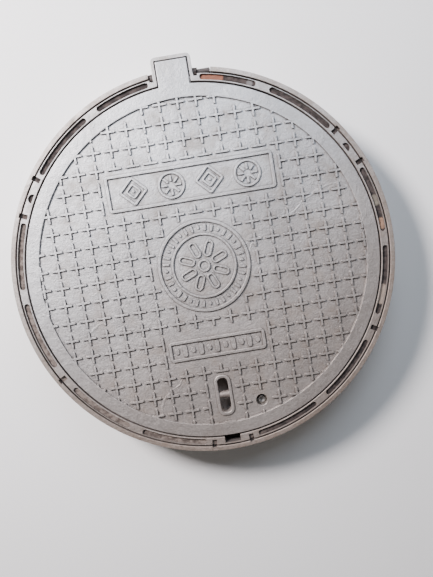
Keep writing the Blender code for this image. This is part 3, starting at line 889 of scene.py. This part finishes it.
def pocket_space():
    """The hinge pocket's hollow. Its far wall follows the swing of the tab."""
    swing_r = POCKET_INNER_Y - PIN_Y
    mouth = math.asin(PIN_DEPTH / swing_r)
    far_wall = arc(swing_r, 0, mouth, 10, (PIN_Y, PIN_Z))
    near_y = PIN_Y - TAB_R
    outline = [(near_y, -0.001), (POCKET_INNER_Y, -0.001), *far_wall]
    outline += [(far_wall[-1][0], ABOVE), (near_y, ABOVE)]
    return cross_prism("pocket_space", outline, POCKET_HALF_WIDTH)


def inner_frame():
    """Seat ring with a slotted flange, pry pocket and hinge pocket."""
    profile = [
        (WALL_INNER_R, TOP),
        (FLANGE_R, TOP),
        (FLANGE_R, FLANGE_BOTTOM),
        (WALL_R, FLANGE_BOTTOM),
        (WALL_R, SKIRT_BOTTOM),
        (SKIRT_INNER_R, SKIRT_BOTTOM),
        (SKIRT_INNER_R, SEAT_BOTTOM),
        (CLEAR_R, SEAT_BOTTOM + 0.002),
        (CLEAR_R, SEAT_Z),
        (WALL_INNER_R, SEAT_Z),
    ]
    item = revolved("inner_frame_casting", soften(profile, 0.0009))
    block = bmesh.new()
    levels = (
        (SKIRT_BOTTOM, -0.0008),
        (SKIRT_BOTTOM + 0.0008, 0),
        (TOP - 0.0010, 0),
        (TOP - 0.0003, -0.0003),
        (TOP, -0.0010),
    )
    stack(block, pocket_outline, levels)
    pry_floor = TOP - PRY_DEPTH
    boss = (
        (-PRY_BOSS_HALF_WIDTH, -PRY_R - PRY_BOSS_WALL, pry_floor - PRY_BOSS_FLOOR),
        (PRY_BOSS_HALF_WIDTH, 0.002 - WALL_R, TOP),
    )
    combine(item, [finish_mesh(block, "pocket_wall"), box("pry_boss", *boss)], "UNION")
    pry_pocket = (
        (-PRY_HALF_WIDTH, -PRY_R, pry_floor),
        (PRY_HALF_WIDTH, -SKIRT_INNER_R, ABOVE),
    )
    cutters = [
        *flange_cutters(),
        pin_recesses(),
        pocket_space(),
        pin_bore("pin_bore"),
        box("pry_pocket", *pry_pocket),
    ]
    combine(item, cutters, "DIFFERENCE")
    return item


def tab_outline():
    """Hinge tab from the side: flat on top, round about the pin."""
    root = FIELD_R + 0.004
    start = math.asin(PIN_DEPTH / TAB_R)
    end = math.asin((TOP - RIM_BOTTOM - PIN_DEPTH) / TAB_R) - math.pi
    return [(root, TOP)] + arc(TAB_R, start, end, 40, (PIN_Y, PIN_Z)) + [(root, RIM_BOTTOM)]


def cover_profile():
    """Half of the cover's section: rim, sunk field and the ring ribs below."""
    top = [
        (0, FIELD_Z),
        (FIELD_R - 0.0005, FIELD_Z),
        (FIELD_R - 0.0001, FIELD_Z + 0.0005),
        (FIELD_R + 0.0001, TOP - 0.0004),
        (FIELD_R + 0.0006, TOP),
        (COVER_R - EDGE_WEAR, TOP),
        (COVER_R - COVER_DRAFT, RIM_BOTTOM),
    ]
    rim_levels = (RIM_BOTTOM, RIM_RING_BOTTOM, RIM_RING_BOTTOM, PLATE_BOTTOM)
    bottom = list(zip(RIM_RING_R, rim_levels))
    for radius, half, low in RING_RIBS:
        bottom += [
            (radius + half + RIB_DRAFT, PLATE_BOTTOM),
            (radius + half, low),
            (radius - half, low),
            (radius - half - RIB_DRAFT, PLATE_BOTTOM),
        ]
    return soften([*top, *bottom, (0, PLATE_BOTTOM)], 0.0014, closed=False)


def ribs(inside):
    """Straight ribs under the plate, like spokes, that reach up into it."""
    outline = [(RIB_CURVE[-1][0], inside), (RIB_CURVE[0][0], inside), *RIB_CURVE]
    spokes = []
    for k in range(RIB_COUNT):
        spoke = cross_prism(f"rib_{k}", outline, RIB_HALF_WIDTH)
        turn = Matrix.Rotation((k + 0.5) * math.tau / RIB_COUNT, 4, "Z")
        centre = Matrix.Translation((0, CENTRE_Y, 0))
        spoke.data.transform(centre @ turn @ centre.inverted())
        spokes.append(spoke)
    return spokes


def cover_body():
    """The cover without its tread: rim, sunk field, ribs, tab and bosses."""
    item = revolved("cover_casting", cover_profile(), closed=False)
    inside = PLATE_BOTTOM + 0.004
    landed = STOP_ANGLE - math.acos((HEEL_R + 0.0005) / TAB_R - 1)
    heel_half = TAB_HALF_WIDTH - 0.001
    heel = (-heel_half, *polar(TAB_R, landed, (PIN_Y, PIN_Z)))
    slot_boss = rounded_rectangle((SLOT_X, SLOT_Y), *CUP_SIZE, 0.008)
    lock_foot = (LOCK_X, LOCK_Y, LOCK_BOSS_BOTTOM)
    combine(
        item,
        [
            cross_prism("tab", tab_outline(), TAB_HALF_WIDTH - EDGE_WEAR, 0.0014),
            rod("heel", HEEL_R, heel, 2 * heel_half, "X", 24),
            *ribs(inside),
            prisms("slot_boss", [slot_boss], RIM_BOTTOM, inside),
            rod("lock_boss", LOCK_BOSS_R, lock_foot, inside - LOCK_BOSS_BOTTOM),
        ],
        "UNION",
    )
    return item


def arm_reaches(x, y):
    """How far each arm of the cross at (x, y) goes before it meets a feature."""
    reaches = []
    for step_x, step_y in ((1, 0), (0, 1), (-1, 0), (0, -1)):
        tip = (x + step_x * ARM_REACH, y + step_y * ARM_REACH)
        reaches.append(0.0 if in_feature(*tip, ARM_MARGIN) else ARM_REACH)
    return reaches


def in_feature(x, y, margin):
    """Whether a point is on a plate, the medallion, the slot's lip or the lock."""
    for centre_x, centre_y, width, length in (LARGE_PLATE, SMALL_PLATE):
        if abs(x - centre_x) < width / 2 + margin and abs(y - centre_y) < length / 2 + margin:
            return True
    if math.hypot(x, y - PATTERN_Y) < MEDALLION_R + RIDGE / 2 + margin:
        return True
    if abs(x - SLOT_X) < LIP_SIZE[0] / 2 + margin and abs(y - SLOT_Y) < LIP_SIZE[1] / 2 + margin:
        return True
    return math.hypot(x - LOCK_X, y - LOCK_Y) < LOCK_HOLE_R + LOCK_MARGIN


def tread():
    """Raised crosses on a square lattice, cut short where they meet a feature."""
    shape = bmesh.new()
    count = math.ceil(FIELD_R / PITCH)
    for row in range(-count, count + 1):
        for column in range(-count, count + 1):
            x, y = column * PITCH, PATTERN_Y + row * PITCH
            if math.hypot(x, y) > FIELD_R + 0.010 or in_feature(x, y, 0.0):
                continue
            raised(shape, partial(cross_outline, (x, y), arm_reaches(x, y)), TREAD_TOP)
    return finish_mesh(shape, "tread_crosses")


def borders():
    """Ridges round the two plates and the medallion, and the slot's lip."""
    shape = bmesh.new()
    for x, y, width, length in (LARGE_PLATE, SMALL_PLATE):
        plate = partial(rounded_rectangle, (x, y), width - RIDGE, length - RIDGE, 0.004)
        raised_band(shape, plate, RIDGE, TREAD_TOP)
    for radius, width in ((MEDALLION_R, RIDGE), (MEDALLION_INNER_R, 0.7 * RIDGE)):
        raised_band(shape, partial(circle, MEDALLION, radius, steps=96), width, TREAD_TOP)
    lip_width = (LIP_SIZE[0] - SLOT_SIZE[0]) / 2
    size = [side - lip_width for side in LIP_SIZE]
    corner_r = LIP_CORNER_R - lip_width / 2
    lip = partial(rounded_rectangle, (SLOT_X, SLOT_Y), *size, corner_r, steps=8)
    raised_band(shape, lip, lip_width, LIP_TOP, 0.0010)
    return finish_mesh(shape, "tread_borders")


def in_row(plate, count, margin):
    """Places spread evenly along a plate, with a margin in steps at its ends."""
    x, y, width, _ = plate
    step = width / (count + margin)
    return [(x + (k - (count - 1) / 2) * step, y) for k in range(count)]


def ornaments():
    """Generic raised motifs: none of them is a letter, sign or mark."""
    shape = bmesh.new()
    for k, place in enumerate(in_row(LARGE_PLATE, 4, 0.4)):
        motif = wheel_motif if k % 2 else diamond_motif
        motif(shape, place)
    for k, place in enumerate(in_row(SMALL_PLATE, 11, 0.9)):
        raised(shape, partial(stadium, place, DASH_WIDTH, DASH_LENGTHS[k % 2]), STUD_TOP)
    middle = (MEDALLION_R + MEDALLION_INNER_R) / 2
    for k, (place, angle) in enumerate(spread_round(MEDALLION, middle, 36)):
        ray = partial(stadium, place, RAY_WIDTH, RAY_LENGTHS[k % 3], angle=angle)
        raised(shape, ray, STUD_TOP)
    for place, angle in spread_round(MEDALLION, PETAL_R, 8, 0.5):
        raised_band(shape, partial(stadium, place, *PETAL_SIZE, angle=angle), 0.0032, MOTIF_TOP)
    raised_band(shape, partial(circle, MEDALLION, HUB_R, steps=32), 0.0036, MOTIF_TOP)
    return finish_mesh(shape, "tread_ornaments")


def diamond_motif(shape, centre):
    """A diamond ridge with a smaller one inside and a stud at its middle."""
    for side, width in DIAMONDS:
        diamond = partial(rounded_rectangle, centre, side, side, 0.003, angle=math.pi / 4)
        raised_band(shape, diamond, width, MOTIF_TOP)
    raised(shape, partial(circle, centre, STUD_R, steps=16), MOTIF_TOP)


def wheel_motif(shape, centre):
    """A round ridge with eight short spokes that stop short of it."""
    raised_band(shape, partial(circle, centre, WHEEL_R), 0.0042, MOTIF_TOP)
    for place, angle in spread_round(centre, SPOKE_R, 8):
        raised(shape, partial(stadium, place, *SPOKE_SIZE, angle=angle), MOTIF_TOP)


# Cold shuts in the casting skin: start, end, sideways sway and width.
CREASES = (
    ((-0.132, -0.292), (-0.104, -0.238), 0.007, 0.0030),
    ((-0.104, -0.240), (-0.072, -0.212), -0.004, 0.0024),
    ((-0.250, -0.106), (-0.214, -0.083), 0.004, 0.0028),
    ((0.156, 0.062), (0.214, 0.094), -0.006, 0.0026),
    ((0.205, 0.086), (0.292, 0.118), 0.005, 0.0030),
    ((0.090, 0.010), (0.128, 0.036), 0.004, 0.0022),
)
CREASE_STEP = 0.0022
CREASE_SPREAD = 1.6
CREASE_HEIGHT = 0.00042
CREASE_ROOT = -0.0008
CREASE_EDGE = -0.0001


def creases():
    """Thin wavy ridges, like seams where two flows of iron met."""
    shape = bmesh.new()
    for k, (start, end, sway, width) in enumerate(CREASES):
        run = Vector(end) - Vector(start)
        side = Vector((-run.y, run.x)).normalized()
        steps = max(10, round(run.length / CREASE_STEP))
        sections = []
        for step in range(steps + 1):
            t = step / steps
            wobble = noise.noise(Vector((k * 3.1, t * 5.0, 0.4))) * 0.0040
            centre = Vector(start) + run * t + side * (sway * math.sin(math.pi * t) + wobble)
            swell = 0.25 + 0.75 * math.sin(math.pi * min(max(t, 0.03), 0.97))
            uneven = 0.8 + 0.4 * noise.noise(Vector((t * 6.0, k * 1.7, 2.0)))
            half = CREASE_SPREAD * width * swell * uneven
            height = CREASE_HEIGHT * swell
            across = (
                (-half, CREASE_ROOT),
                (-half, CREASE_EDGE),
                (-half * 0.6, height * 0.4),
                (-half * 0.1, height),
                (half * 0.25, height * 0.9),
                (half, CREASE_EDGE),
                (half, CREASE_ROOT),
            )
            sections.append([(*(centre + side * u), FIELD_Z + v) for u, v in across])
        loft(shape, sections)
    return finish_mesh(shape, "casting_creases")


# How far grit reaches into the iron round it, and the section of a bed of grit:
# place across and level, both in shares.
GRIT_LAP = 0.0004
GRIT_TUCK = 0.0006
GRIT_SECTION = ((-1, 0), (1, 0), (1, 0.9), (0.6, 1), (0.2, 1), (-0.2, 1), (-0.6, 1), (-1, 0.9))


def slot_grit():
    """Road grit packed in the flange's slots and holes, lumpy and below its top."""
    shape = bmesh.new()
    for first, last in flange_slots():
        length = (last - first) * SLOT_MIDDLE_R
        steps = round(length / 0.0025)
        rows = []
        for step in range(steps + 1):
            along = 0.0002 + (length - 0.0004) * step / steps
            near = min(along, length - along, SLOT_HALF)
            reach = math.sqrt(SLOT_HALF**2 - (SLOT_HALF - near) ** 2) + GRIT_LAP
            angle = first + along / SLOT_MIDDLE_R
            rows.append((angle, SLOT_MIDDLE_R - reach, SLOT_MIDDLE_R + reach))
        packed_grit(shape, rows)
    inner = WALL_R - GRIT_TUCK
    for angle in both_sides((ANCHOR_HOLE,)):
        rows = []
        for step in range(13):
            across = ANCHOR_R * 0.995 * (step / 6 - 1)
            outer = WALL_R + math.sqrt(ANCHOR_R**2 - across**2) + GRIT_LAP
            rows.append((angle + across / WALL_R, inner, outer))
        packed_grit(shape, rows)
    turn = (NOTCH_HALF_WIDTH + 0.0003) / FLANGE_R
    for angle in both_sides(NOTCHES):
        rows = [(angle + turn * (step / 3 - 1), inner, FLANGE_R) for step in range(7)]
        packed_grit(shape, rows, NOTCH_GRIT_BASE, NOTCH_GRIT_HEIGHT)
    near = POCKET_HALF_WIDTH + POCKET_WALL - GRIT_LAP
    far = HINGE_GAP_HALF_WIDTH - GRIT_TUCK
    for side in (1, -1):
        rows = []
        for step in range(7):
            angle = math.pi / 2 - side * (near + (far - near) * step / 6) / PIN_Y
            rows.append((angle, FLANGE_R - GRIT_TUCK, RING_R - 0.0010))
        packed_grit(shape, rows)
    return finish_mesh(shape, "slot_grit")


def packed_grit(shape, rows, base=GRIT_BASE, height=GRIT_HEIGHT):
    """One lumpy bed through rows of angle, inner and outer radius."""
    sections = []
    for angle, inner, outer in rows:
        middle, reach = (inner + outer) / 2, (outer - inner) / 2
        ring = []
        for across, level in GRIT_SECTION:
            x, y = polar(middle + across * reach, angle)
            lump = noise.noise(Vector((x, y, 0.0)) * 190)
            lump += 0.5 * noise.noise(Vector((x, y, 0.3)) * 480)
            ring.append((x, y, FLANGE_BOTTOM + base + level * (height + 0.0011 * lump)))
        sections.append(ring)
    loft(shape, sections)


def spindle():
    """Lock spindle: dished head, five-sided drive hole, cam square and thread."""
    top, bottom = spindle_high.z, spindle_low.z
    profile = [
        (0, top - 0.0032),
        (0.0046, top - 0.0030),
        (SPINDLE_HEAD_R - 0.0007, top),
        (SPINDLE_HEAD_R, top - 0.0006),
        (SPINDLE_HEAD_R, SPINDLE_NECK),
        (SPINDLE_SHANK_R, SPINDLE_NECK),
        (SPINDLE_SHANK_R, SPINDLE_SHOULDER),
        (SPINDLE_THREAD_R, SPINDLE_SHOULDER),
        (SPINDLE_THREAD_R, bottom),
        (0, bottom),
    ]
    centre = (LOCK_X, LOCK_Y)
    profile = soften(profile, 0.0003, closed=False)
    item = revolved("spindle_turned", profile, segments=48, centre=centre, closed=False)
    half = SPINDLE_SQUARE / 2
    low = (LOCK_X - half, LOCK_Y - half, SPINDLE_SQUARE_Z[0])
    high = (LOCK_X + half, LOCK_Y + half, SPINDLE_SQUARE_Z[1])
    combine(item, [box("spindle_square", low, high)], "UNION")
    drive = circle(centre, DRIVE_R, steps=5)
    combine(item, [prisms("spindle_drive", [drive], DRIVE_BOTTOM, TOP)], "DIFFERENCE")
    return item


def cover():
    """The whole cover casting, with its tread and holes."""
    item = cover_body()
    for raised_part in (borders, ornaments, tread):
        combine(item, [raised_part()], "UNION")
    slot = partial(stadium, (SLOT_X, SLOT_Y), *SLOT_SIZE, steps=12)
    lock_hole = partial(circle, (LOCK_X, LOCK_Y), LOCK_HOLE_R)
    bar_reach = bar_high.x - SLOT_X + PLAY
    bar_start = (SLOT_X - bar_reach, SLOT_Y, BAR_Z)
    cutters = [
        pin_bore("tab_bore"),
        flared("slot_hole", [slot], RIM_BOTTOM - 0.01, TREAD_TOP, SLOT_FLARE),
        rod("bar_bore", BAR_R + PLAY, bar_start, 2 * bar_reach, "X"),
        flared("lock_hole", [lock_hole], LOCK_BOSS_BOTTOM - 0.008, FIELD_Z, LOCK_HOLE_FLARE),
    ]
    combine(item, cutters, "DIFFERENCE")
    return item


# ---------------------------------------------------------------------- stage

CAMERA_PLACE = Vector((0.01625, 0.00774, 1.13922))
CAMERA_AIM = Vector((0.01661, -0.06571, TOP))
CAMERA_ROLL = math.radians(-9.37)
LENS = 32.44

# Disk lights over the cover: name, place, size, watts and colour.
LIGHTS = (
    ("key", (-1.25, 1.20, 1.55), 0.6, 146, (1.0, 0.94, 0.945)),
    ("top", (0.35, 1.10, 1.50), 1.2, 20, (0.76, 0.86, 1.0)),
)
WALL_LIGHT = (1.0, 1.0, 1.0)
CEILING_LIGHT = (0.06, 0.055, 0.05)


def camera():
    """Almost straight above, rolled a little, as a hand-held camera is."""
    data = bpy.data.cameras.new("camera")
    data.sensor_fit = "VERTICAL"
    data.sensor_height = 36.0
    data.lens = LENS
    data.clip_start = 0.01
    item = bpy.data.objects.new("camera", data)
    away = (CAMERA_PLACE - CAMERA_AIM).normalized()
    across = Vector((0, 1, 0)).cross(away).normalized()
    upward = away.cross(across)
    pose = Matrix((across, upward, away)).transposed().to_4x4()
    roll = Matrix.Rotation(CAMERA_ROLL, 4, "Z")
    item.matrix_world = Matrix.Translation(CAMERA_PLACE) @ pose @ roll
    bpy.context.scene.collection.objects.link(item)
    bpy.context.scene.camera = item


def disk_light(name, place, size, power, colour):
    """A round soft light that points at the middle of the cover."""
    data = bpy.data.lights.new(name, "AREA")
    data.shape = "DISK"
    data.size = size
    data.energy = power
    data.color = colour
    item = bpy.data.objects.new(name, data)
    item.location = place
    away = Vector(place) - Vector((0, 0, TOP))
    item.rotation_euler = away.to_track_quat("Z", "Y").to_euler()
    bpy.context.scene.collection.objects.link(item)


def stage():
    """A pale floor, a studio sky and the lights."""
    shape = bmesh.new()
    bmesh.ops.create_grid(shape, x_segments=1, y_segments=1, size=6)
    mesh = bpy.data.meshes.new("floor")
    shape.to_mesh(mesh)
    shape.free()
    floor = bpy.data.objects.new("floor", mesh)
    bpy.context.scene.collection.objects.link(floor)
    n = Nodes("floor_paint")
    grey = n.mix(n.noise(3, 2), (0.90, 0.90, 0.90), (0.93, 0.93, 0.93))
    n.link(grey, n.shader.inputs["Base Color"])
    n.shader.inputs["Roughness"].default_value = 0.9
    floor.data.materials.append(n.material)
    sky()
    for light in LIGHTS:
        disk_light(*light)


def sky():
    """A studio room: pale walls round the horizon and a dark ceiling."""
    world = bpy.data.worlds.new("studio")
    world.use_nodes = True
    tree = world.node_tree
    place = tree.nodes.new("ShaderNodeTexCoord")
    split = tree.nodes.new("ShaderNodeSeparateXYZ")
    tree.links.new(place.outputs["Generated"], split.inputs["Vector"])
    fade = tree.nodes.new("ShaderNodeMapRange")
    fade.interpolation_type = "SMOOTHSTEP"
    fade.inputs["From Min"].default_value = 0.08
    fade.inputs["From Max"].default_value = 0.42
    tree.links.new(split.outputs["Z"], fade.inputs["Value"])
    mix = tree.nodes.new("ShaderNodeMix")
    mix.data_type = "RGBA"
    mix.inputs[MIX_FIRST].default_value = (*WALL_LIGHT, 1)
    mix.inputs[MIX_SECOND].default_value = (*CEILING_LIGHT, 1)
    tree.links.new(fade.outputs["Result"], mix.inputs["Factor"])
    tree.links.new(mix.outputs[MIX_RESULT], tree.nodes["Background"].inputs["Color"])
    bpy.context.scene.world = world


# -------------------------------------------------------------------- assembly

SILVER = Finish((0.56, 0.57, 0.585), (0.41, 0.412, 0.42), 0.55, 0.88)
FRAME_SILVER = Finish((0.52, 0.51, 0.51), (0.37, 0.355, 0.345), 0.56, 0.84)
RING_SILVER = Finish((0.49, 0.465, 0.45), (0.32, 0.285, 0.26), 0.56, 0.80)
BAR_SILVER = Finish((0.30, 0.285, 0.285), (0.20, 0.19, 0.19), 0.62, 0.7)
STEEL = Finish((0.075, 0.067, 0.066), (0.035, 0.031, 0.03), 0.6, 0.4)
SOOTED = Finish((0.22, 0.21, 0.19), (0.11, 0.105, 0.095), 0.7, 0.2)
PLATED = Finish((0.36, 0.35, 0.33), (0.20, 0.19, 0.18), 0.42, 1.0)
TURNED = Finish((0.44, 0.43, 0.42), (0.30, 0.29, 0.28), 0.38, 1.0)
RUBBER = Finish((0.085, 0.078, 0.070), (0.022, 0.022, 0.023), 0.75, 0.0)
PLASTIC = Finish((0.50, 0.455, 0.43), (0.34, 0.31, 0.295), 0.75, 0.0)

camera()
stage()

cover_item = cover()
inner_item = inner_frame()
outer_item = outer_frame()
cover_paint = cast_paint("cover_paint", SILVER, FIELD_Z)
inner_paint = cast_paint("inner_frame_paint", FRAME_SILVER)
outer_paint = cast_paint("outer_frame_paint", RING_SILVER)
for item, node, slot_name, material in (
    (cover_item, "cover", "cover_iron", cover_paint),
    (inner_item, "inner_frame", "frame_iron", inner_paint),
    (outer_item, "outer_frame", "frame_iron", outer_paint),
):
    flatten_shading(item)
    dress(item, material, node)
    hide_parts(node)

dress(creases(), cover_paint, "cover", 60)
dress(slot_grit(), grit_paint("packed_grit"), "inner_frame", 60)
spindle_item = spindle()
dress(spindle_item, plain_steel("turned_steel", TURNED), "lock", 35)
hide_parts("lock_spindle")

plated = plain_steel("plated_steel", PLATED)
for names, material in (
    (("hinge_pin", "hinge_washer", "split_pin"), plain_steel("pin_steel", STEEL)),
    (("lock_sleeve",), plain_steel("sooted_steel", SOOTED)),
    (("lock_spring_washer", "lock_cam", "lock_cam_washer", "lock_nut"), plated),
    (("cup_screw_left", "cup_screw_right", "lock_screw_left", "lock_screw_right"), plated),
    (("lock_seal_ring", "seat_gasket"), rubber("black_rubber", RUBBER)),
    (("lifting_cup",), rubber("black_plastic", PLASTIC)),
    (("lifting_bar",), cast_paint("bar_paint", BAR_SILVER)),
):
    for name in names:
        paint(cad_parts[name], material, 35)
